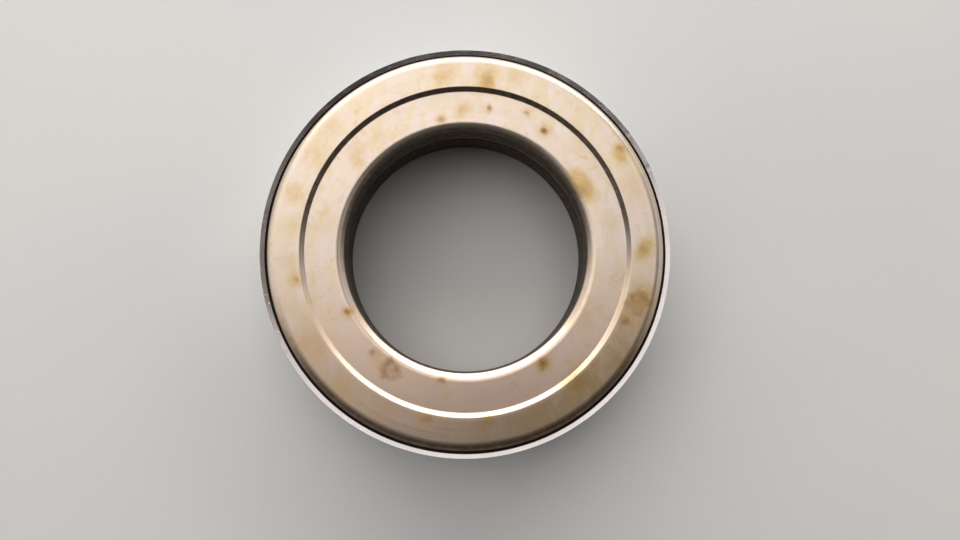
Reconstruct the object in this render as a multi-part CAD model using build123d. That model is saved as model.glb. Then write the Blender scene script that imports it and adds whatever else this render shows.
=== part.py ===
from build123d import *
import os

# Single-row thrust ball bearing with a sheet-metal cover.
# Millimetres, +Z up. The origin is the centre of the base, and +Z is the bearing's axis.
# The lower race is seated in the cover and stands still; the top race turns on the balls.

# --- Driving dimensions -------------------------------------------------------------------

# main sizes
SHAFT_BORE_R = 22.5      # bore of the top race, which grips the shaft
LOWER_BORE_R = 23.5      # bore of the lower race, which clears the shaft
RACE_OUTER_R = 36.5      # outside of the top race
RACES_HEIGHT = 20.0      # from the lower race's back to the top race's face
RACE_THICKNESS = 7.25

# balls
BALL_COUNT = 16
BALL_R = 9.525 / 2
PITCH_R = 29.5
GROOVE_RATIO = 1.08      # groove radius over ball radius
BALL_CLEARANCE = 0.05    # between a ball and the bottom of each groove

# top race: a raised outer ring and a recessed inner ring on its face
FACE_RECESS = 0.65
STEP_INNER_R = 29.6
STEP_OUTER_R = 30.35
FACE_EDGE_ROUND = 1.7
BORE_BEVEL_WIDTH = 1.07  # the bevel at the bore, blended into the face and the bore
BORE_BEVEL_DROP = 0.96
BORE_BEVEL_TOP_ROUND = 1.2
BORE_BEVEL_LOW_ROUND = 0.35
BACK_EDGE_ROUND = 0.5
STEP_ROUND = 0.25

# lower race
LOWER_TOP_ROUND = 0.4
LOWER_BACK_ROUND = 1.3
SEAT_CLEARANCE = 0.02    # radial, between the lower race and the cover

# cover: a pressed cup with an inward flange under the lower race
COVER_OUTER_R = 38.0
COVER_SHEET = 0.9
COVER_BEND_R = 0.9       # inside radius of the bend at the base
COVER_FLANGE_R = 25.5    # hole in the flange
RIM_DROP = 2.0           # rim below the top race's face
RIM_SLANT_DROP = 0.3     # the rim's edge slants down towards the race

# rolled bead in the cover, which holds the top race in by the groove in its outside
BEAD_HEIGHT = 2.6
BEAD_TIP_HEIGHT = 1.0
BEAD_TIP_R = 36.2
BEAD_ROUND = 0.7
BEAD_BELOW_FACE = 4.3
RETAINER_GROOVE_R = 35.7
RETAINER_GROOVE_HEIGHT = 3.2
RETAINER_FLANK = 0.4     # how far each flank of the groove slopes, along the axis
RETAINER_ROUND = 0.25

# cage: one pressed ring of channel section, with a round pocket for each ball
CAGE_SHEET = 0.9
CAGE_HEIGHT = 2.6
CAGE_BEND_R = 0.6        # inside radius of the channel's bends
CAGE_WALL = 1.1          # width of the ring left beside a pocket
POCKET_CLEARANCE = 0.15

# --- Worked-out places --------------------------------------------------------------------

FACE_Z = COVER_SHEET + RACES_HEIGHT
LOWER_BACK_Z = COVER_SHEET
LOWER_TOP_Z = LOWER_BACK_Z + RACE_THICKNESS
TOP_BACK_Z = FACE_Z - RACE_THICKNESS
BALL_Z = LOWER_BACK_Z + RACES_HEIGHT / 2
GROOVE_R = BALL_R * GROOVE_RATIO
GROOVE_SHIFT = GROOVE_R - BALL_R - BALL_CLEARANCE
RIM_Z = FACE_Z - RIM_DROP
BEAD_Z = FACE_Z - BEAD_BELOW_FACE
COVER_INNER_R = COVER_OUTER_R - COVER_SHEET
LOWER_OUTER_R = COVER_INNER_R - SEAT_CLEARANCE
POCKET_R = BALL_R + POCKET_CLEARANCE
CAGE_INNER_R = PITCH_R - POCKET_R - CAGE_WALL
CAGE_OUTER_R = PITCH_R + POCKET_R + CAGE_WALL


# --- Sub-parts ----------------------------------------------------------------------------

def ring(corners):
    """Turn a closed section about the axis. Each corner is (radius, height, rounding)."""
    points = [(radius, height) for radius, height, _ in corners]
    rounds = [rounding for _, _, rounding in corners]
    outline = FilletPolyline(*points, radius=rounds, close=True)
    return revolve(Plane.XZ * make_face(outline), Axis.Z)


def sheet_section(corners, sheet):
    """Section of pressed sheet along its middle line. Each corner is (radius, height, bend)."""
    points = [(radius, height) for radius, height, _ in corners]
    bends = [bend for _, _, bend in corners[1:-1]]
    return trace(FilletPolyline(*points, radius=bends), sheet)


def ball_groove(height):
    """The ring-shaped cutter that leaves a race's ball groove."""
    return Pos(0, 0, height) * Torus(PITCH_R, GROOVE_R)


def make_top_race():
    """The turning race: stepped face, eased edges, ball groove, retaining groove outside."""
    recess_z = FACE_Z - FACE_RECESS
    groove_low = BEAD_Z - RETAINER_GROOVE_HEIGHT / 2
    groove_high = BEAD_Z + RETAINER_GROOVE_HEIGHT / 2
    body = ring([
        (SHAFT_BORE_R, TOP_BACK_Z, BACK_EDGE_ROUND),
        (RACE_OUTER_R, TOP_BACK_Z, BACK_EDGE_ROUND),
        (RACE_OUTER_R, groove_low, RETAINER_ROUND),
        (RETAINER_GROOVE_R, groove_low + RETAINER_FLANK, RETAINER_ROUND),
        (RETAINER_GROOVE_R, groove_high - RETAINER_FLANK, RETAINER_ROUND),
        (RACE_OUTER_R, groove_high, RETAINER_ROUND),
        (RACE_OUTER_R, FACE_Z, FACE_EDGE_ROUND),
        (STEP_OUTER_R, FACE_Z, STEP_ROUND),
        (STEP_INNER_R, recess_z, STEP_ROUND),
        (SHAFT_BORE_R + BORE_BEVEL_WIDTH, recess_z, BORE_BEVEL_TOP_ROUND),
        (SHAFT_BORE_R, recess_z - BORE_BEVEL_DROP, BORE_BEVEL_LOW_ROUND),
    ])
    return body - ball_groove(BALL_Z - GROOVE_SHIFT)


def make_lower_race():
    """The standing race, seated in the cover on the flange."""
    body = ring([
        (LOWER_BORE_R, LOWER_BACK_Z, BACK_EDGE_ROUND),
        (LOWER_OUTER_R, LOWER_BACK_Z, LOWER_BACK_ROUND),
        (LOWER_OUTER_R, LOWER_TOP_Z, BACK_EDGE_ROUND),
        (LOWER_BORE_R, LOWER_TOP_Z, LOWER_TOP_ROUND),
    ])
    return body - ball_groove(BALL_Z + GROOVE_SHIFT)


def make_cover():
    """The sheet cup: flange under the lower race, bend, wall with a rolled bead, open rim."""
    half = COVER_SHEET / 2
    wall_r = COVER_OUTER_R - half
    bead_r = BEAD_TIP_R + half
    section = sheet_section([
        (COVER_FLANGE_R, half, 0),
        (wall_r, half, COVER_BEND_R + half),
        (wall_r, BEAD_Z - BEAD_HEIGHT / 2, BEAD_ROUND),
        (bead_r, BEAD_Z - BEAD_TIP_HEIGHT / 2, BEAD_ROUND),
        (bead_r, BEAD_Z + BEAD_TIP_HEIGHT / 2, BEAD_ROUND),
        (wall_r, BEAD_Z + BEAD_HEIGHT / 2, BEAD_ROUND),
        (wall_r, RIM_Z, 0),
    ], COVER_SHEET)
    inner_r = wall_r - half
    slant = make_face(Polyline(
        (inner_r, RIM_Z),
        (COVER_OUTER_R, RIM_Z),
        (inner_r, RIM_Z - RIM_SLANT_DROP),
        close=True,
    ))
    return revolve(Plane.XZ * (section - slant), Axis.Z)


def make_cage():
    """The pressed channel ring that spaces the balls, one pocket for each."""
    half = CAGE_SHEET / 2
    inner_r = CAGE_INNER_R + half
    outer_r = CAGE_OUTER_R - half
    bend = CAGE_BEND_R + half
    lip_z = BALL_Z - half + CAGE_HEIGHT
    section = sheet_section([
        (inner_r, lip_z, 0),
        (inner_r, BALL_Z, bend),
        (outer_r, BALL_Z, bend),
        (outer_r, lip_z, 0),
    ], CAGE_SHEET)
    channel = revolve(Plane.XZ * section, Axis.Z)
    pocket = Cylinder(POCKET_R, 2 * CAGE_HEIGHT)
    return channel - [place * pocket for place in ball_places()]


def ball_places():
    """The place of each ball, evenly round the pitch circle."""
    step = 360 / BALL_COUNT
    return [Rot(0, 0, step * number) * Pos(PITCH_R, 0, BALL_Z) for number in range(BALL_COUNT)]


def make_balls():
    """The balls by name, each in its own place, numbered from +X towards +Y."""
    places = ball_places()
    return {f"ball_{number + 1:02d}": places[number] * Sphere(BALL_R) for number in range(BALL_COUNT)}


def main():
    os.makedirs("parts", exist_ok=True)
    pieces = {
        "cover": make_cover(),
        "lower_race": make_lower_race(),
        "top_race": make_top_race(),
        "cage": make_cage(),
    }
    pieces.update(make_balls())
    for name, piece in pieces.items():
        export_step(piece, f"parts/{name}.step")


main()
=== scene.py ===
import math
import random

import bmesh
import bpy
import numpy as np
from mathutils import Matrix, Vector


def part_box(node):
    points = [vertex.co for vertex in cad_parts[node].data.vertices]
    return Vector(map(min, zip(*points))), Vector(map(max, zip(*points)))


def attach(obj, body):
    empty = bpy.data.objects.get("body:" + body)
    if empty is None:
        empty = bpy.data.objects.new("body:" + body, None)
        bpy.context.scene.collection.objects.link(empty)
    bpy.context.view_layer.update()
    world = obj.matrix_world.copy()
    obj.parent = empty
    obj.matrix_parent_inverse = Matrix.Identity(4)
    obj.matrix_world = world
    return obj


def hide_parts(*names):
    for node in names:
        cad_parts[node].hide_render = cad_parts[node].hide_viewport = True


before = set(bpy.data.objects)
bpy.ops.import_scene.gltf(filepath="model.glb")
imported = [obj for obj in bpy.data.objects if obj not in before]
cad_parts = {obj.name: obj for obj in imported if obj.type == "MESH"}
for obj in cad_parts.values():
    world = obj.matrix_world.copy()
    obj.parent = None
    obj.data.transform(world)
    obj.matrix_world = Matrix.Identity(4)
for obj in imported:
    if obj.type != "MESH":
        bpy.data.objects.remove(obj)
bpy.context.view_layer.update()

# ------------------------------------------------------------------------------------------
# Sizes, in millimetres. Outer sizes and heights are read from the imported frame.
# ------------------------------------------------------------------------------------------

MM = 0.001


def box_mm(node):
    """Half width, lowest and highest height of a ring-shaped CAD node."""
    low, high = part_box(node)
    return high.x / MM, low.z / MM, high.z / MM


RACE_R, RACE_BACK_Z, FACE_Z = box_mm("top_race")
LOWER_R, LOWER_BACK_Z, LOWER_TOP_Z = box_mm("lower_race")
COVER_R, BASE_Z, RIM_Z = box_mm("cover")
BALL_R = box_mm("ball_01")[2] - (box_mm("ball_01")[1] + box_mm("ball_01")[2]) / 2
BALL_Z = (box_mm("ball_01")[1] + box_mm("ball_01")[2]) / 2
BALL_COUNT = sum(name.startswith("ball_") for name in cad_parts)

PITCH_R = 29.5
SHAFT_BORE_R = 22.5
LOWER_BORE_R = 23.5
GROOVE_R = BALL_R * 1.08
GROOVE_GAP = 0.05

FACE_RECESS = 0.65
STEP_INNER_R = 29.6
STEP_OUTER_R = 30.35
FACE_EDGE_ROUND = 1.7
BORE_BEVEL_WIDTH = 1.07
BORE_BEVEL_DROP = 0.96
BORE_BEVEL_TOP_ROUND = 1.2
BORE_BEVEL_LOW_ROUND = 0.35
STEP_ROUND = 0.25
BACK_ROUND = 0.5
LOWER_TOP_ROUND = 0.4
LOWER_BACK_ROUND = 1.3

RETAINER_Z = FACE_Z - 4.3
RETAINER_R = 35.7
RETAINER_HEIGHT = 3.2
RETAINER_FLANK = 0.4
RETAINER_ROUND = 0.25

SHEET = 0.9
COVER_BEND_R = 0.9
FLANGE_R = 25.5
BEAD_TIP_R = 36.2
BEAD_HEIGHT = 2.6
BEAD_TIP_HEIGHT = 1.0
BEAD_ROUND = 0.7
RIM_SLANT_DROP = 0.3

RING_SEGMENTS = 540
ARC_STEP_DEG = 11
LOOP_SUPPORT = 0.04
LOOP_SPACING = 2.6


# ------------------------------------------------------------------------------------------
# Turned rings
# ------------------------------------------------------------------------------------------

def arc(centre, start, end, turn):
    """Points from start to end round the centre, through the given turn in radians."""
    a, b = start - centre, end - centre
    steps = max(3, math.ceil(math.degrees(turn) / ARC_STEP_DEG))
    points = []
    for k in range(steps + 1):
        t = k / steps
        blend = (a * math.sin((1 - t) * turn) + b * math.sin(t * turn)) / math.sin(turn)
        points.append(centre + blend)
    return points


def rounded(corners):
    """An outline through corners (radius, height, rounding), each rounding drawn as an arc."""
    points = []
    count = len(corners)
    for k, (r, z, rounding) in enumerate(corners):
        here = Vector((r, z))
        if rounding == 0:
            points.append(here)
            continue
        before = (Vector(corners[k - 1][:2]) - here).normalized()
        after = (Vector(corners[(k + 1) % count][:2]) - here).normalized()
        half = before.angle(after) / 2
        reach = rounding / math.tan(half)
        centre = here + (before + after).normalized() * (rounding / math.sin(half))
        points += arc(centre, here + before * reach, here + after * reach, math.pi - 2 * half)
    return points


def with_loops(outline):
    """The outline with a point close to each end of every straight run, and evenly along it."""
    points = []
    count = len(outline)
    for k in range(count):
        a, b = outline[k], outline[(k + 1) % count]
        points.append(a)
        run = (b - a).length
        if run < 4 * LOOP_SUPPORT:
            continue
        along = (b - a) / run
        middle = max(1, math.ceil(run / LOOP_SPACING))
        marks = [LOOP_SUPPORT] + [run * n / middle for n in range(1, middle)] + [run - LOOP_SUPPORT]
        points += [a + along * mark for mark in marks]
    return points


def turn_ring(name, outline, segments=RING_SEGMENTS):
    """A closed ring mesh: the outline in millimetres, turned about the Z axis."""
    r = np.array([p.x for p in outline]) * MM
    z = np.array([p.y for p in outline]) * MM
    angle = np.linspace(0, 2 * math.pi, segments, endpoint=False)
    points = np.empty((segments, len(outline), 3))
    points[:, :, 0] = np.cos(angle)[:, None] * r
    points[:, :, 1] = np.sin(angle)[:, None] * r
    points[:, :, 2] = z
    per = len(outline)
    faces = []
    for s in range(segments):
        t = (s + 1) % segments
        for p in range(per):
            q = (p + 1) % per
            faces.append((s * per + p, t * per + p, t * per + q, s * per + q))
    mesh = bpy.data.meshes.new(name)
    mesh.from_pydata(points.reshape(-1, 3).tolist(), [], faces)
    face_outward(mesh)
    piece = bpy.data.objects.new(name, mesh)
    bpy.context.scene.collection.objects.link(piece)
    return piece


def face_outward(mesh):
    """Point every face outward, shade smooth and keep real corners sharp."""
    shape = bmesh.new()
    shape.from_mesh(mesh)
    bmesh.ops.recalc_face_normals(shape, faces=shape.faces)
    shape.to_mesh(mesh)
    shape.free()
    mesh.shade_smooth()
    mesh.set_sharp_from_angle(angle=math.radians(32))


def groove_arc(centre_z, edge_z, outward):
    """The ball groove's arc between its two edges on a race's flat side, as sharp corners."""
    half = math.sqrt(GROOVE_R ** 2 - (centre_z - edge_z) ** 2)
    inner = Vector((PITCH_R - half, edge_z))
    outer = Vector((PITCH_R + half, edge_z))
    centre = Vector((PITCH_R, centre_z))
    turn = 2 * math.asin(half / GROOVE_R)
    points = arc(centre, inner, outer, turn)
    if not outward:
        points.reverse()
    return [(p.x, p.y, 0) for p in points]


def dent(piece, places):
    """Small bruises: each place is (degrees, radius, height, width, depth) in millimetres."""
    mesh = piece.data
    count = len(mesh.vertices)
    co = np.empty(count * 3)
    normal = np.empty(count * 3, np.float32)
    mesh.vertices.foreach_get("co", co)
    mesh.vertices.foreach_get("normal", normal)
    co, normal = co.reshape(-1, 3), normal.reshape(-1, 3)
    for degrees, radius, height, width, depth in places:
        a = math.radians(degrees)
        at = np.array([radius * math.cos(a), radius * math.sin(a), height]) * MM
        away = np.linalg.norm(co - at, axis=1) / (width * MM)
        push = depth * MM * np.exp(-2.5 * away ** 2)
        near = away < 2
        co[near] -= normal[near] * push[near, None]
    mesh.vertices.foreach_set("co", co.ravel())
    mesh.update()


# ------------------------------------------------------------------------------------------
# Materials
# ------------------------------------------------------------------------------------------

class Shader:
    """A material being wired up, with a short call for each kind of node it uses."""

    def __init__(self, name):
        self.material = bpy.data.materials.new(name)
        self.material.use_nodes = True
        self.tree = self.material.node_tree
        self.tree.nodes.clear()
        self.output = self.tree.nodes.new("ShaderNodeOutputMaterial")
        self.surface = self.tree.nodes.new("ShaderNodeBsdfPrincipled")
        self.wire(self.output.inputs["Surface"], self.surface.outputs["BSDF"])
        self.place = self.tree.nodes.new("ShaderNodeTexCoord").outputs["Object"]
        self.mm = self.vector("SCALE", self.place, scale=1 / MM)
        split = self.tree.nodes.new("ShaderNodeSeparateXYZ")
        self.wire(split.inputs[0], self.mm)
        self.x, self.y, self.z = split.outputs
        self.flat = self.combine(self.x, self.y, 0.0)
        self.radius = self.vector("LENGTH", self.flat)
        self.spoke = self.vector("NORMALIZE", self.flat)

    def wire(self, socket, value):
        """Link a socket's value, or set it where the value is a plain number or colour."""
        if isinstance(value, bpy.types.NodeSocket):
            self.tree.links.new(socket, value)
        else:
            socket.default_value = value

    def vector(self, operation, a, b=None, scale=None):
        node = self.tree.nodes.new("ShaderNodeVectorMath")
        node.operation = operation
        self.wire(node.inputs[0], a)
        if b is not None:
            self.wire(node.inputs[1], b)
        if scale is not None:
            self.wire(node.inputs["Scale"], scale)
        return node.outputs["Value" if operation in ("LENGTH", "DISTANCE") else "Vector"]

    def math(self, operation, a, b=0.0, c=0.0):
        node = self.tree.nodes.new("ShaderNodeMath")
        node.operation = operation
        for socket, value in zip(node.inputs, (a, b, c)):
            self.wire(socket, value)
        return node.outputs[0]

    def combine(self, x, y, z):
        node = self.tree.nodes.new("ShaderNodeCombineXYZ")
        for socket, value in zip(node.inputs, (x, y, z)):
            self.wire(socket, value)
        return node.outputs[0]

    def noise(self, at, scale, detail=2.0, roughness=0.5, distortion=0.0, colour=False):
        node = self.tree.nodes.new("ShaderNodeTexNoise")
        self.wire(node.inputs["Vector"], at)
        node.inputs["Scale"].default_value = scale
        node.inputs["Detail"].default_value = detail
        node.inputs["Roughness"].default_value = roughness
        node.inputs["Distortion"].default_value = distortion
        return node.outputs["Color" if colour else "Fac"]

    def ramp(self, value, low, high, to_low=0.0, to_high=1.0):
        """Value between low and high, eased and mapped to the two ends."""
        node = self.tree.nodes.new("ShaderNodeMapRange")
        node.interpolation_type = "SMOOTHSTEP"
        for socket, number in zip(node.inputs, (value, low, high, to_low, to_high)):
            self.wire(socket, number)
        return node.outputs[0]

    def band(self, value, low, high, soft):
        """1 between low and high, falling to 0 over soft on each side."""
        rise = self.ramp(value, low - soft, low)
        fall = self.ramp(value, high, high + soft, 1.0, 0.0)
        return self.math("MULTIPLY", rise, fall)

    def mix(self, share, a, b):
        node = self.tree.nodes.new("ShaderNodeMix")
        node.data_type = "RGBA"
        self.wire(node.inputs[0], share)
        for socket, value in ((node.inputs[6], a), (node.inputs[7], b)):
            self.wire(socket, value if isinstance(value, bpy.types.NodeSocket) else (*value, 1.0))
        return node.outputs[2]

    def times(self, *values):
        product = values[0]
        for value in values[1:]:
            product = self.math("MULTIPLY", product, value)
        return product

    def plus(self, *values):
        total = values[0]
        for value in values[1:]:
            total = self.math("ADD", total, value)
        return total

    def bump(self, height, depth_mm, under=None):
        """A normal from height, where 1 stands depth_mm proud of 0."""
        node = self.tree.nodes.new("ShaderNodeBump")
        node.inputs["Distance"].default_value = depth_mm * MM
        node.inputs["Strength"].default_value = 1.0
        self.wire(node.inputs["Height"], height)
        if under is not None:
            self.wire(node.inputs["Normal"], under)
        return node.outputs[0]

    def finish(self, colour, roughness, normal, metallic=1.0, brushed=0.0, coat=0.0):
        self.wire(self.surface.inputs["Base Color"], colour)
        self.wire(self.surface.inputs["Roughness"], roughness)
        self.wire(self.surface.inputs["Normal"], normal)
        self.wire(self.surface.inputs["Metallic"], metallic)
        self.surface.inputs["Coat Weight"].default_value = coat
        self.surface.inputs["Coat Roughness"].default_value = 0.12
        if brushed:
            tangent = self.tree.nodes.new("ShaderNodeTangent")
            tangent.direction_type = "RADIAL"
            tangent.axis = "Z"
            self.wire(self.surface.inputs["Tangent"], tangent.outputs[0])
            self.surface.inputs["Anisotropic"].default_value = brushed
        return self.material


def ring_marks(shader, per_mm, long_way=3.0, detail=3.0):
    """Fine marks that run round the ring, as a grinding wheel or lathe leaves them."""
    across = shader.times(shader.plus(shader.radius, shader.z), per_mm)
    round_way = shader.vector("SCALE", shader.spoke, scale=long_way)
    at = shader.vector("ADD", round_way, shader.combine(0.0, 0.0, across))
    return shader.noise(at, 1.0, detail)


SCRATCH_STRETCH = 0.05


def scratches(shader, degrees, per_mm, width, patch_scale, patch_from):
    """Straight hairline scratches that lie one way and come and go in patches."""
    turn = math.radians(degrees)
    along = shader.plus(shader.times(shader.x, math.cos(turn)), shader.times(shader.y, math.sin(turn)))
    across = shader.plus(shader.times(shader.x, -math.sin(turn)), shader.times(shader.y, math.cos(turn)))
    stretched = shader.times(along, per_mm * SCRATCH_STRETCH)
    at = shader.combine(stretched, shader.times(across, per_mm), shader.times(shader.z, per_mm))
    line = shader.math("ABSOLUTE", shader.math("SUBTRACT", shader.noise(at, 1.0, 1.0), 0.5))
    patch = shader.ramp(shader.noise(shader.mm, patch_scale, 1.0), patch_from, patch_from + 0.12)
    return shader.times(shader.ramp(line, 0.0, width, 1.0, 0.0), patch)


def spots(shader, places):
    """Stains at (degrees, radius, size, strength), with ragged outlines, added together."""
    wander = shader.vector("SUBTRACT", shader.noise(shader.mm, 0.42, 2.0, colour=True), (0.5, 0.5, 0.5))
    moved = shader.vector("ADD", shader.flat, shader.vector("SCALE", wander, scale=1.7))
    total = 0.0
    for degrees, radius, size, strength in places:
        a = math.radians(degrees)
        centre = (radius * math.cos(a), radius * math.sin(a), 0.0)
        away = shader.vector("DISTANCE", shader.vector("MULTIPLY", moved, (1.0, 1.0, 0.0)), centre)
        total = shader.plus(shader.ramp(away, 0.0, size * 1.75, strength, 0.0), total)
    return shader.math("MINIMUM", shader.times(total, 1.2), 1.0)


# stains on the stepped face: (degrees from +X, radius, size, strength)
YELLOW_SPOTS = [
    (97, 33.1, 2.0, 0.6), (99, 31.8, 1.2, 0.4), (83.5, 32.4, 2.2, 0.8), (82.5, 30.9, 1.4, 0.6),
    (74, 33.5, 1.8, 0.4), (33, 34.0, 1.5, 0.9), (30.5, 33.4, 1.4, 0.6), (20, 33.0, 2.6, 0.3),
    (1.4, 33.2, 1.5, 0.8), (-1.0, 32.0, 1.5, 0.7), (-14, 33.6, 2.2, 0.8), (-19, 32.6, 2.4, 0.8),
    (-24.5, 32.0, 1.4, 0.7), (-36, 33.4, 3.4, 0.4), (190, 31.3, 1.4, 0.8), (184, 32.0, 1.8, 0.4),
    (172, 31.4, 1.8, 0.3), (162, 32.8, 1.7, 0.55), (148, 32.6, 2.4, 0.35), (138, 33.8, 2.2, 0.35),
    (-47, 32.2, 3.0, 0.7), (-54, 31.4, 2.2, 0.6), (-66, 33.0, 2.8, 0.4), (257, 31.4, 1.6, 0.7),
    (-83, 31.2, 1.6, 0.6), (212, 33.0, 3.2, 0.4), (228, 34.0, 2.6, 0.4), (243, 32.6, 2.4, 0.3),
    (90.6, 26.5, 1.3, 0.55), (93, 25.6, 0.9, 0.4), (81, 26.8, 0.9, 0.6), (66, 28.0, 1.1, 0.5),
    (57, 26.7, 1.5, 0.7), (34, 24.6, 1.5, 0.9), (29, 24.7, 1.7, 1.0), (24, 24.9, 1.5, 0.8),
    (101, 24.6, 1.1, 0.7), (137.5, 27.2, 1.8, 0.5), (141, 25.6, 1.6, 0.45), (128, 26.0, 1.8, 0.3),
    (208, 24.1, 1.2, 1.0), (236, 25.9, 1.7, 0.6), (230, 25.0, 1.2, 0.5), (-56, 25.1, 1.5, 0.8),
    (259, 24.3, 1.0, 0.6), (-30, 24.7, 1.6, 0.35), (12, 26.4, 2.0, 0.25), (170, 26.4, 2.2, 0.25),
]
BROWN_SPOTS = [
    (83, 31.6, 0.9, 0.3), (33.5, 34.1, 0.7, 0.4), (0.5, 32.6, 0.8, 0.3), (-24.5, 31.7, 0.8, 0.6),
    (-18, 31.4, 0.9, 0.35), (-50, 31.2, 1.9, 0.4), (81, 26.9, 0.5, 0.6), (57, 26.6, 0.65, 1.0),
    (66, 27.8, 0.5, 0.4), (27, 24.4, 1.2, 0.35), (208, 24.0, 0.7, 0.7), (-56, 25.0, 0.9, 0.8),
    (259, 24.2, 0.6, 0.6), (228, 25.2, 0.6, 0.5), (257, 31.4, 0.8, 0.35), (-83, 31.1, 0.8, 0.4),
    (190, 31.2, 0.5, 0.4), (101, 24.5, 0.5, 0.4), (-37, 34.2, 1.4, 0.3), (-72, 34.0, 1.8, 0.3),
]
# drips that dried from the outside in: (degrees from +X, radius, ring radius, strength)
DRIP_RINGS = [(238, 25.9, 1.7, 0.75), (-17, 32.9, 1.8, 0.6)]


def drips(shader, places):
    """Soft uneven rings left round dried drops, with a thin film inside."""
    wander = shader.vector("SUBTRACT", shader.noise(shader.mm, 0.45, 1.0, colour=True), (0.5, 0.5, 0.5))
    moved = shader.vector("ADD", shader.flat, shader.vector("SCALE", wander, scale=2.4))
    faded = shader.ramp(shader.noise(shader.mm, 0.4, 2.0, 0.6), 0.35, 0.65, 0.35, 1.0)
    total = 0.0
    for degrees, radius, size, strength in places:
        a = math.radians(degrees)
        centre = (radius * math.cos(a), radius * math.sin(a), 0.0)
        away = shader.vector("DISTANCE", shader.vector("MULTIPLY", moved, (1.0, 1.0, 0.0)), centre)
        edge = shader.times(shader.band(away, size * 0.85, size * 1.0, size * 0.45), 0.6)
        film = shader.ramp(away, size * 0.6, size * 1.4, 0.55, 0.0)
        total = shader.plus(shader.times(shader.plus(edge, film), faded, strength), total)
    return total


# colours of the race steel, of what lies on it, and of its painted shade
STEEL_PINK = (0.735, 0.63, 0.585)
STEEL_CREAM = (0.735, 0.625, 0.455)
STEEL_HAZE = (0.62, 0.49, 0.37)
GRIND_DARK = (0.42, 0.34, 0.28)
# painted shade colour for the near half of the race
NEAR_PAINTED_SHADE = (0.70, 0.50, 0.40)
STAIN_YELLOW = (0.60, 0.38, 0.10)
STAIN_BROWN = (0.27, 0.12, 0.025)
# painted shade colour, olive, for the near outer annulus
OLIVE_PAINTED_SHADE = (0.30, 0.215, 0.10)
# painted shade colour, partly dirt, for the edge gap, bore, shoulder and step
RACE_PAINTED_SHADE_AND_GRIME = (0.05, 0.028, 0.014)
RACE_SCRATCH = (0.86, 0.80, 0.74)


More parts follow.
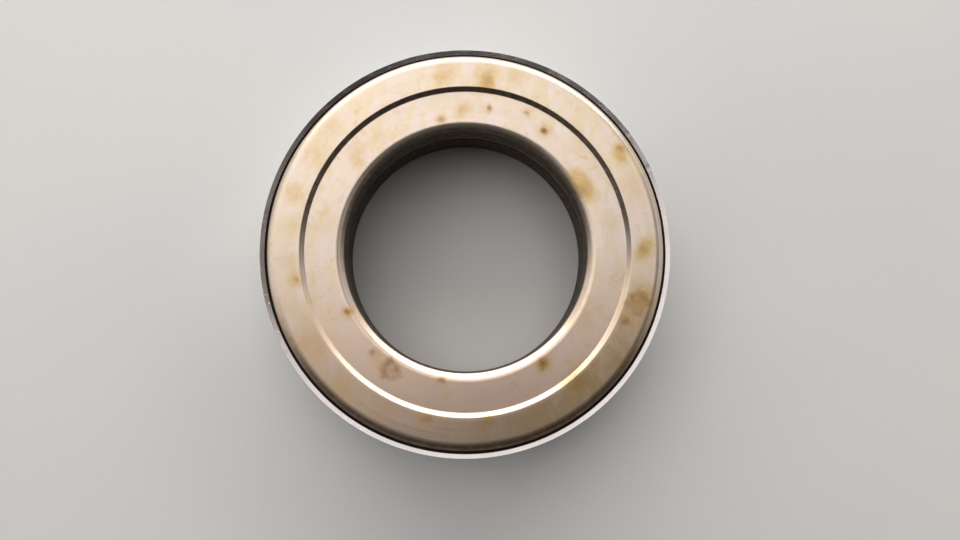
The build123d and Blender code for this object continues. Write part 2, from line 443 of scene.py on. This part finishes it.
def race_material(name, stained):
    """Ground bearing steel: fine round marks, a warm oil film, stains, and painted shade with some dirt.

    The near half (-Y) has a painted warmer shade, a painted olive shade on its outer annulus and a painted
    dark band on its shoulder. The far half (+Y) has painted dark lines at the step and the bore lip. The
    outer edge below the face and the bore wall carry painted shade with some dirt. These belong to the
    race and turn with it, so the look is the one meant at the rest pose.
    """
    s = Shader(name)
    fine = ring_marks(s, 11.0)
    broad = ring_marks(s, 1.3, 1.2, 2.0)
    wiped = s.noise(s.vector("MULTIPLY", s.mm, (0.34, 0.15, 0.3)), 1.0, 5.0, 0.6, 0.8)
    blotch = s.noise(s.mm, 0.42, 5.0, 0.65, 0.4)
    haze = s.noise(s.mm, 0.9, 4.0, 0.6)
    speck = s.noise(s.mm, 2.6, 3.0, 0.6)
    one_way = scratches(s, 24, 1.6, 0.010, 0.10, 0.52)
    other_way = scratches(s, -61, 1.2, 0.008, 0.13, 0.55)
    scratch = s.math("MAXIMUM", one_way, other_way)

    cream_share = s.plus(s.ramp(wiped, 0.36, 0.64, 0.0, 0.85), s.ramp(s.radius, 29.6, 30.6, 0.0, 0.15))
    colour = s.mix(s.math("MINIMUM", cream_share, 1.0), STEEL_PINK, STEEL_CREAM)
    colour = s.mix(s.ramp(haze, 0.3, 0.75, 0.0, 0.18), colour, STEEL_HAZE)
    colour = s.mix(s.ramp(fine, 0.3, 0.7, 0.10, 0.0), colour, GRIND_DARK)
    # Painted shade: the near half (-Y) is tinted darker and warmer, standing in for the side away from the
    # lights.
    near_half_painted_shade = s.ramp(s.y, -26.0, 4.0, 1.0, 0.0)
    colour = s.mix(s.times(near_half_painted_shade, 0.62), colour, NEAR_PAINTED_SHADE)
    faint = s.ramp(blotch, 0.53, 0.72, 0.0, 0.45)
    if stained:
        patchy = s.times(spots(s, YELLOW_SPOTS), s.ramp(haze, 0.25, 0.6, 0.55, 1.0))
        yellow = s.math("MAXIMUM", patchy, faint)
        brown = s.math("MAXIMUM", spots(s, BROWN_SPOTS), drips(s, DRIP_RINGS))
    else:
        yellow = s.ramp(s.noise(s.mm, 0.28, 3.0), 0.58, 0.75, 0.0, 0.8)
        brown = s.ramp(s.noise(s.mm, 0.45, 3.0), 0.66, 0.8, 0.0, 0.7)
    brown = s.math("MAXIMUM", brown, s.ramp(speck, 0.70, 0.76, 0.0, 0.35))
    colour = s.mix(s.times(yellow, 0.75), colour, STAIN_YELLOW)
    colour = s.mix(s.times(brown, 0.85), colour, STAIN_BROWN)
    # Painted shade: the outer annulus on the near half is darkened with an olive tint.
    low_side_painted_shade = s.times(s.ramp(s.y, -22.0, -2.0, 1.0, 0.0), s.ramp(s.radius, 30.2, 31.2))
    low_side_painted_shade = s.times(low_side_painted_shade, s.ramp(s.x, -14.0, 16.0, 0.35, 1.0), s.ramp(wiped, 0.3, 0.6, 0.55, 1.0))
    colour = s.mix(s.times(low_side_painted_shade, 0.58), colour, OLIVE_PAINTED_SHADE)

    # Painted shade with some dirt: the outer edge below the face, down into the gap to the cover, and the
    # bore wall are darkened.
    below = s.ramp(s.z, FACE_Z - 1.7, FACE_Z - 0.6, 1.0, 0.0)
    outside = s.ramp(s.radius, RACE_R - 0.9, RACE_R - 0.15)
    inside = s.ramp(s.radius, LOWER_BORE_R + 0.1, LOWER_BORE_R + 0.5, 1.0, 0.0)
    ragged = s.ramp(haze, 0.25, 0.6, 0.9, 1.0)
    deeper = s.ramp(s.z, FACE_Z - 2.3, FACE_Z - 1.6, 1.0, 0.0)
    painted_shade_and_grime = s.times(s.math("MAXIMUM", s.times(outside, below), s.times(inside, deeper)), ragged)
    # Painted shade: a dark band on the outer shoulder of the near half.
    near_shoulder_painted_shade = s.times(s.ramp(s.y, -26.0, -8.0, 1.0, 0.0), s.ramp(s.radius, 34.6, 35.6))
    shoulder_painted_shade = s.times(near_shoulder_painted_shade, s.ramp(haze, 0.2, 0.6, 0.6, 0.8))
    painted_shade_and_grime = s.math("MAXIMUM", painted_shade_and_grime, shoulder_painted_shade)
    # Painted shade: dark lines at the step and at the bore lip on the far half (+Y), standing in for dark
    # reflections.
    far_side = s.ramp(s.y, -10.0, 8.0)
    foot = s.times(s.band(s.radius, STEP_INNER_R, STEP_OUTER_R - 0.1, 0.15), far_side, 0.9)
    lip = s.times(s.ramp(s.radius, SHAFT_BORE_R + 0.3, SHAFT_BORE_R + 1.0, 0.85, 0.0), far_side)
    corners = s.times(s.math("MAXIMUM", foot, lip), s.ramp(haze, 0.3, 0.6, 0.9, 1.0))
    painted_shade_and_grime = s.math("MAXIMUM", painted_shade_and_grime, corners)
    colour = s.mix(painted_shade_and_grime, colour, RACE_PAINTED_SHADE_AND_GRIME)
    colour = s.mix(s.times(scratch, 0.12), colour, RACE_SCRATCH)

    roughness = s.plus(
        0.35, s.ramp(fine, 0.2, 0.8, -0.03, 0.05), s.ramp(broad, 0.3, 0.7, -0.02, 0.04),
        s.ramp(wiped, 0.35, 0.7, 0.0, 0.06), s.times(yellow, 0.06), s.times(brown, 0.12),
        s.times(painted_shade_and_grime, 0.18))
    normal = s.bump(fine, 0.0022)
    normal = s.bump(broad, 0.004, normal)
    normal = s.bump(s.plus(s.times(scratch, 0.3), s.times(brown, -1.0)), -0.002, normal)
    metallic = s.math("SUBTRACT", 1.0, s.plus(s.times(painted_shade_and_grime, 0.35), s.times(brown, 0.3)))
    return s.finish(colour, roughness, normal, metallic, brushed=0.35)


# colours of the cover sheet, of what lies on it, and of its painted shade
SHEET_LIGHT = (0.66, 0.645, 0.64)
SHEET_DULL = (0.54, 0.53, 0.53)
SHEET_GRAIN = (0.38, 0.37, 0.37)
DRAW_DARK = (0.42, 0.40, 0.38)
SHEET_OIL = (0.46, 0.35, 0.19)
# painted shade colour for the inner wall and the bead groove
SHEET_PAINTED_SHADE = (0.055, 0.04, 0.03)
RIM_EDGE = (0.56, 0.52, 0.515)
# painted dark reflection colour for the far-left part of the rim
RIM_PAINTED_SHADE = (0.075, 0.05, 0.035)
SHEET_SCRATCH = (0.80, 0.79, 0.78)


def cover_material():
    """Pressed sheet with a dull zinc finish: draw lines up the wall, rubbed edges, painted shade inside
    the wall below the rim and in the bead groove, and a painted dark reflection on part of the rim.
    """
    s = Shader("cover_sheet")
    turned = ring_marks(s, 5.0, 2.0)
    grain = s.noise(s.mm, 7.0, 3.0, 0.6)
    cloud = s.noise(s.mm, 0.2, 4.0, 0.55, 0.5)
    round_way = s.vector("SCALE", s.spoke, scale=260.0)
    draw_at = s.vector("ADD", round_way, s.combine(0.0, 0.0, s.times(s.z, 0.12)))
    draw = s.noise(draw_at, 1.0, 2.0)
    one_way = scratches(s, 8, 1.1, 0.010, 0.12, 0.5)
    other_way = scratches(s, 77, 0.9, 0.010, 0.1, 0.54)
    scratch = s.math("MAXIMUM", one_way, other_way)

    colour = s.mix(s.ramp(cloud, 0.35, 0.68), SHEET_LIGHT, SHEET_DULL)
    colour = s.mix(s.ramp(grain, 0.3, 0.7, 0.16, 0.0), colour, SHEET_GRAIN)
    colour = s.mix(s.ramp(draw, 0.42, 0.7, 0.0, 0.22), colour, DRAW_DARK)
    oil = s.ramp(s.noise(s.mm, 0.3, 3.0, 0.6), 0.58, 0.74, 0.0, 0.55)
    colour = s.mix(oil, colour, SHEET_OIL)

    # Painted shade: the inner side of the wall below the rim and the groove of the bead are darkened.
    inner_side = s.ramp(s.radius, COVER_R - 0.86, COVER_R - 0.72, 1.0, 0.0)
    below_rim = s.ramp(s.z, RIM_Z - 0.75, RIM_Z - 0.42, 1.0, 0.0)
    inside = s.times(inner_side, below_rim)
    inside = s.times(inside, s.ramp(s.z, LOWER_BACK_Z - 0.2, LOWER_BACK_Z + 0.1))
    bead = s.band(s.z, RETAINER_Z - 0.75, RETAINER_Z + 0.75, 0.45)
    fold = s.times(bead, s.ramp(s.radius, COVER_R - 0.55, COVER_R - 0.25, 1.0, 0.0))
    painted_shade_and_grime = s.math("MAXIMUM", s.times(inside, 0.95), s.times(fold, s.ramp(cloud, 0.3, 0.6, 0.35, 0.75)))
    colour = s.mix(painted_shade_and_grime, colour, SHEET_PAINTED_SHADE)
    rim = s.ramp(s.z, RIM_Z - 0.42, RIM_Z - 0.34)
    colour = s.mix(s.times(rim, s.ramp(grain, 0.2, 0.8, 0.92, 1.0)), colour, RIM_EDGE)
    # Painted dark reflection: the rim is darkened on its far-left part.
    film = s.times(rim, s.ramp(s.x, -26.0, -8.0, 0.7, 0.0), s.ramp(s.y, -22.0, -6.0))
    colour = s.mix(film, colour, RIM_PAINTED_SHADE)
    colour = s.mix(s.times(scratch, 0.4), colour, SHEET_SCRATCH)

    roughness = s.plus(
        0.30, s.ramp(grain, 0.2, 0.8, -0.03, 0.06), s.ramp(cloud, 0.3, 0.7, -0.03, 0.05),
        s.times(painted_shade_and_grime, 0.22), s.times(scratch, -0.10), s.times(rim, -0.08))
    wall = s.math("SUBTRACT", 1.0, rim)
    normal = s.bump(s.plus(s.times(turned, 0.5), s.times(draw, wall)), 0.0035)
    normal = s.bump(s.times(grain, wall), 0.002, normal)
    normal = s.bump(scratch, -0.003, normal)
    metallic = s.math("SUBTRACT", 1.0, s.times(painted_shade_and_grime, 0.5))
    return s.finish(colour, roughness, normal, metallic)


def cage_material():
    """Oiled pressed steel, darker than the races, with lighter flecks."""
    s = Shader("cage_pressed_steel")
    grain = s.noise(s.mm, 5.0, 3.0, 0.6)
    cloud = s.noise(s.mm, 0.35, 3.0, 0.55)
    marks = ring_marks(s, 4.0, 2.0)
    colour = s.mix(s.ramp(cloud, 0.35, 0.65), (0.47, 0.44, 0.40), (0.34, 0.29, 0.23))
    colour = s.mix(s.ramp(grain, 0.5, 0.75, 0.0, 0.4), colour, (0.58, 0.55, 0.50))
    roughness = s.plus(0.30, s.ramp(grain, 0.2, 0.8, -0.04, 0.08), s.ramp(cloud, 0.3, 0.7, 0.0, 0.06))
    normal = s.bump(marks, 0.003)
    normal = s.bump(grain, 0.004, normal)
    return s.finish(colour, roughness, normal, coat=0.2)


def ball_material():
    """Polished balls with a thin uneven oil film and hair-fine polishing marks."""
    s = Shader("ball_polished_steel")
    film = s.noise(s.mm, 0.5, 3.0, 0.6)
    marks = s.noise(s.vector("MULTIPLY", s.mm, (9.0, 9.0, 1.2)), 1.0, 2.0)
    colour = s.mix(s.ramp(film, 0.42, 0.7, 0.0, 0.5), (0.80, 0.79, 0.78), (0.66, 0.56, 0.40))
    roughness = s.plus(0.07, s.ramp(film, 0.4, 0.7, 0.0, 0.10), s.ramp(marks, 0.4, 0.7, 0.0, 0.03))
    return s.finish(colour, roughness, s.bump(marks, 0.0006))


def floor_material():
    """A plain, pale, matt surface."""
    s = Shader("pale_floor")
    grain = s.noise(s.mm, 0.8, 3.0, 0.6)
    cloud = s.noise(s.mm, 0.012, 2.0)
    colour = s.mix(s.ramp(cloud, 0.3, 0.7), (0.66, 0.67, 0.67), (0.70, 0.70, 0.69))
    colour = s.mix(s.ramp(grain, 0.3, 0.7, 0.0, 0.08), colour, (0.58, 0.59, 0.60))
    return s.finish(colour, 0.62, s.bump(grain, 0.01), metallic=0.0)


# ------------------------------------------------------------------------------------------
# Pieces
# ------------------------------------------------------------------------------------------

def make_top_race():
    """The turning race, with its stepped face, rounded edges, ball groove and outer groove."""
    recess_z = FACE_Z - FACE_RECESS
    low = RETAINER_Z - RETAINER_HEIGHT / 2
    high = RETAINER_Z + RETAINER_HEIGHT / 2
    groove_centre = BALL_Z + BALL_R + GROOVE_GAP - GROOVE_R
    outline = rounded([
        (SHAFT_BORE_R, RACE_BACK_Z, BACK_ROUND),
        *groove_arc(groove_centre, RACE_BACK_Z, outward=True),
        (RACE_R, RACE_BACK_Z, BACK_ROUND),
        (RACE_R, low, RETAINER_ROUND),
        (RETAINER_R, low + RETAINER_FLANK, RETAINER_ROUND),
        (RETAINER_R, high - RETAINER_FLANK, RETAINER_ROUND),
        (RACE_R, high, RETAINER_ROUND),
        (RACE_R, FACE_Z, FACE_EDGE_ROUND),
        (STEP_OUTER_R, FACE_Z, STEP_ROUND),
        (STEP_INNER_R, recess_z, STEP_ROUND),
        (SHAFT_BORE_R + BORE_BEVEL_WIDTH, recess_z, BORE_BEVEL_TOP_ROUND),
        (SHAFT_BORE_R, recess_z - BORE_BEVEL_DROP, BORE_BEVEL_LOW_ROUND),
    ])
    piece = turn_ring("turning_race", with_loops(outline))
    rng = random.Random(7)
    edge_r = RACE_R - 0.45
    edge_z = FACE_Z - 0.4
    bruises = [(rng.uniform(0, 360), edge_r, edge_z, rng.uniform(0.35, 0.8), rng.uniform(0.02, 0.06))
               for _ in range(14)]
    bruises += [(rng.uniform(0, 360), SHAFT_BORE_R + 0.35, recess_z - 0.35, rng.uniform(0.3, 0.6),
                 rng.uniform(0.015, 0.05)) for _ in range(9)]
    dent(piece, bruises)
    return piece


def make_lower_race():
    """The standing race at the bottom of the cover."""
    groove_centre = BALL_Z - BALL_R - GROOVE_GAP + GROOVE_R
    outline = rounded([
        (LOWER_BORE_R, LOWER_BACK_Z, BACK_ROUND),
        (LOWER_R, LOWER_BACK_Z, LOWER_BACK_ROUND),
        (LOWER_R, LOWER_TOP_Z, BACK_ROUND),
        *groove_arc(groove_centre, LOWER_TOP_Z, outward=False),
        (LOWER_BORE_R, LOWER_TOP_Z, LOWER_TOP_ROUND),
    ])
    return turn_ring("standing_race", with_loops(outline))


def sheet_outline(middle, sheet):
    """A closed outline of even thickness round a middle line of points."""
    left, right = [], []
    for k, p in enumerate(middle):
        ahead = middle[min(k + 1, len(middle) - 1)]
        behind = middle[max(k - 1, 0)]
        along = (ahead - behind).normalized()
        side = Vector((-along.y, along.x)) * sheet / 2
        left.append(p + side)
        right.append(p - side)
    return right + left[::-1]


def make_cover():
    """The sheet cup: flange, bend, wall with its rolled bead, and the slanted rim."""
    half = SHEET / 2
    wall_r = COVER_R - half
    bead_r = BEAD_TIP_R + half
    middle = rounded([
        (FLANGE_R, BASE_Z + half, 0),
        (wall_r, BASE_Z + half, COVER_BEND_R + half),
        (wall_r, RETAINER_Z - BEAD_HEIGHT / 2, BEAD_ROUND),
        (bead_r, RETAINER_Z - BEAD_TIP_HEIGHT / 2, BEAD_ROUND),
        (bead_r, RETAINER_Z + BEAD_TIP_HEIGHT / 2, BEAD_ROUND),
        (wall_r, RETAINER_Z + BEAD_HEIGHT / 2, BEAD_ROUND),
        (wall_r, RIM_Z, 0),
    ])
    outline = sheet_outline(middle, SHEET)
    count = len(middle)
    outer_rim, inner_rim = count - 1, count
    inner_z = RIM_Z - RIM_SLANT_DROP
    outline[outer_rim] = Vector((COVER_R, RIM_Z - 0.05))
    outline[inner_rim] = Vector((COVER_R - SHEET, inner_z - 0.08))
    outline[inner_rim:inner_rim] = [
        Vector((COVER_R - 0.01, RIM_Z - 0.015)),
        Vector((COVER_R - 0.04, RIM_Z - 0.013)),
        Vector((COVER_R - SHEET + 0.08, inner_z + 0.025)),
        Vector((COVER_R - SHEET + 0.02, inner_z - 0.02)),
    ]
    piece = turn_ring("sheet_cover", with_loops(outline))
    settle_sheet(piece)
    return piece


def settle_sheet(piece):
    """The slight unevenness of pressed sheet, always inward so that the size is kept."""
    mesh = piece.data
    co = np.empty(len(mesh.vertices) * 3)
    mesh.vertices.foreach_get("co", co)
    co = co.reshape(-1, 3)
    angle = np.arctan2(co[:, 1], co[:, 0])
    up = np.clip((co[:, 2] / MM - LOWER_TOP_Z) / (RIM_Z - LOWER_TOP_Z), 0, 1)
    wave = 0.5 + 0.25 * np.sin(3 * angle + 0.6) + 0.15 * np.sin(7 * angle + 2.1) + 0.1 * np.sin(17 * angle)
    inward = 1 - 0.00055 * wave * up
    co[:, 0] *= inward
    co[:, 1] *= inward
    top = np.clip((co[:, 2] / MM - (RIM_Z - 1.0)) / 1.0, 0, 1)
    ripple = 0.5 + 0.3 * np.sin(5 * angle + 1.2) + 0.2 * np.sin(23 * angle + 0.4)
    co[:, 2] -= 0.05 * MM * ripple * top
    mesh.vertices.foreach_set("co", co.ravel())
    mesh.update()
    rng = random.Random(11)
    places = [(rng.uniform(0, 360), COVER_R, rng.uniform(3.5, RETAINER_Z - 2.5), rng.uniform(0.6, 1.6),
               rng.uniform(0.02, 0.07)) for _ in range(22)]
    places += [(rng.uniform(0, 360), COVER_R - 0.2, RIM_Z, rng.uniform(0.3, 0.6), rng.uniform(0.03, 0.08))
               for _ in range(16)]
    dent(piece, places)


def make_ball(name, node):
    """A ball as an even net of quads, at the CAD ball's place."""
    low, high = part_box(node)
    centre = (low + high) / 2
    shape = bmesh.new()
    bmesh.ops.create_cube(shape, size=1.0)
    bmesh.ops.subdivide_edges(shape, edges=shape.edges[:], cuts=15, use_grid_fill=True)
    for vertex in shape.verts:
        p = vertex.co * 2
        even = Vector(math.tan(c * math.pi / 4) for c in p)
        vertex.co = even.normalized() * BALL_R * MM
    mesh = bpy.data.meshes.new(name)
    shape.to_mesh(mesh)
    shape.free()
    mesh.transform(Matrix.Translation(centre))
    mesh.shade_smooth()
    piece = bpy.data.objects.new(name, mesh)
    bpy.context.scene.collection.objects.link(piece)
    return piece


def dress(piece, material, body, node):
    """Give a piece its material and body, and hide the CAD node it stands for."""
    piece.data.materials.clear()
    piece.data.materials.append(material)
    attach(piece, body)
    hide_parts(node)


def make_pieces():
    ground = race_material("race_ground_steel", stained=True)
    dress(make_top_race(), ground, "top_race", "top_race")
    oiled = race_material("race_oiled_steel", stained=False)
    dress(make_lower_race(), oiled, "housing", "lower_race")
    dress(make_cover(), cover_material(), "housing", "cover")
    polished = ball_material()
    for number in range(1, BALL_COUNT + 1):
        node = f"ball_{number:02d}"
        dress(make_ball(f"steel_{node}", node), polished, node, node)
    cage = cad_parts["cage"]
    cage.data.materials.clear()
    cage.data.materials.append(cage_material())


# ------------------------------------------------------------------------------------------
# Stage: floor, light, camera
# ------------------------------------------------------------------------------------------

def make_floor():
    size = 1.5
    mesh = bpy.data.meshes.new("floor")
    corners = [(-size, -size, 0), (size, -size, 0), (size, size, 0), (-size, size, 0)]
    mesh.from_pydata([(x, y, -0.02 * MM) for x, y, _ in corners], [], [(0, 1, 2, 3)])
    floor = bpy.data.objects.new("floor", mesh)
    bpy.context.scene.collection.objects.link(floor)
    mesh.materials.append(floor_material())


def soft_box(name, centre, facing, width, height, brightness, colour):
    """A soft box with its centre at one point, facing another, in metres."""
    lamp = bpy.data.lights.new(name, "AREA")
    lamp.shape = "RECTANGLE"
    lamp.size, lamp.size_y = width, height
    lamp.energy = brightness * math.pi * width * height
    lamp.color = colour
    holder = bpy.data.objects.new(name, lamp)
    bpy.context.scene.collection.objects.link(holder)
    holder.location = centre
    holder.rotation_euler = (Vector(facing) - Vector(centre)).to_track_quat("-Z", "Y").to_euler()


# soft boxes: (name, centre, facing, width, height, brightness, colour)
SOFT_BOXES = [
    ("window", (-0.05, 0.8, 0.30), (-0.05, 0, 0.30), 1.6, 0.58, 4.6, (1.0, 0.97, 0.93)),
    ("overhead", (-0.26, 0.68, 1.0), (-0.26, 0.68, 0), 1.30, 1.46, 1.42, (1.0, 0.96, 0.92)),
    ("left_fill", (-0.8, 0.05, 0.42), (0, 0.05, 0.1), 0.9, 0.8, 0.95, (1.0, 0.97, 0.94)),
    ("right_fill", (0.85, 0.1, 0.32), (0, 0.1, 0.05), 0.9, 0.5, 0.75, (1.0, 0.97, 0.94)),
]
SURROUND_COLOUR = (0.95, 0.97, 1.0, 1.0)
SURROUND_STRENGTH = 0.07


def make_lights():
    world = bpy.data.worlds.new("studio")
    bpy.context.scene.world = world
    world.use_nodes = True
    surround = world.node_tree.nodes["Background"]
    surround.inputs["Color"].default_value = SURROUND_COLOUR
    surround.inputs["Strength"].default_value = SURROUND_STRENGTH
    for box in SOFT_BOXES:
        soft_box(*box)


CAMERA_FOOT = (-0.4, -13.3)
CAMERA_ABOVE_FACE = 136.2
CAMERA_TILT_DEG = 4.2
CAMERA_HEADING_DEG = 17
LENS_MM = 28.125
SENSOR_MM = 36.0


def make_camera():
    """Nearly straight down, from a hand's width above the ring, a little to the near side."""
    foot_x, foot_y = CAMERA_FOOT
    height = FACE_Z + CAMERA_ABOVE_FACE
    tilt, heading = math.radians(CAMERA_TILT_DEG), math.radians(CAMERA_HEADING_DEG)
    lean = math.sin(tilt)
    forward = Vector((lean * math.sin(heading), lean * math.cos(heading), -math.cos(tilt)))
    right = forward.cross(Vector((0, 1, 0))).normalized()
    up = right.cross(forward)
    lens = bpy.data.cameras.new("camera")
    lens.lens = LENS_MM
    lens.sensor_width = SENSOR_MM
    lens.clip_start, lens.clip_end = 0.01, 10.0
    camera = bpy.data.objects.new("camera", lens)
    bpy.context.scene.collection.objects.link(camera)
    turn = Matrix((right, up, -forward)).transposed().to_4x4()
    camera.matrix_world = Matrix.Translation(Vector((foot_x, foot_y, height)) * MM) @ turn
    bpy.context.scene.camera = camera


make_pieces()
make_floor()
make_lights()
make_camera()
bpy.context.scene.view_settings.view_transform = "Standard"
